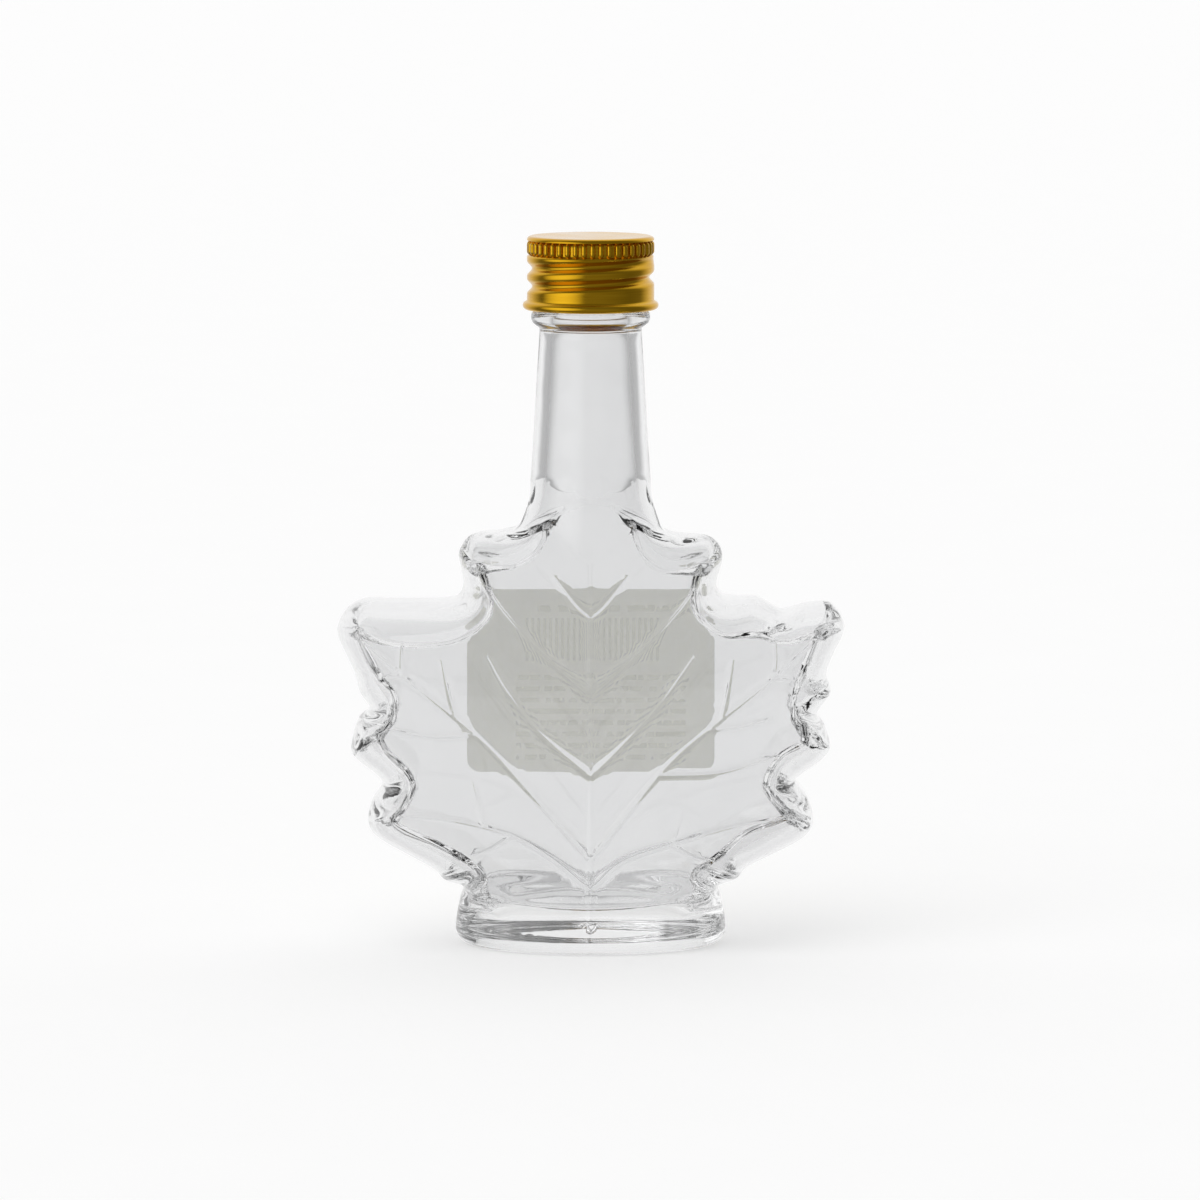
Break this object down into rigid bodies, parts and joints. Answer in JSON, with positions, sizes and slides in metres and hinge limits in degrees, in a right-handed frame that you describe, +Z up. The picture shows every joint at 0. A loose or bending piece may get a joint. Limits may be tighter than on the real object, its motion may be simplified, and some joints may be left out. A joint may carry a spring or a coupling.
{
  "type": "leaf-shaped bottle",
  "caption": "Small empty clear glass bottle shaped like a maple leaf with raised veins, a long neck, an oval foot, a gold screw cap and a paper label on its back.",
  "frame": {"origin": "centre of the foot's underside, where the bottle stands", "axes": "+Z up along the neck, -Y towards the viewer of the veined front, +X to that viewer's right"},
  "size_m": [0.0761, 0.0271, 0.1067],
  "materials": {
    "glass": "gloss",
    "gold_aluminium": "satin",
    "label_paper": "matte"
  },
  "bodies": {
    "root": {"glass_bottle": "glass", "cap": "gold_aluminium", "back_label": "label_paper"}
  },
  "joints": []
}
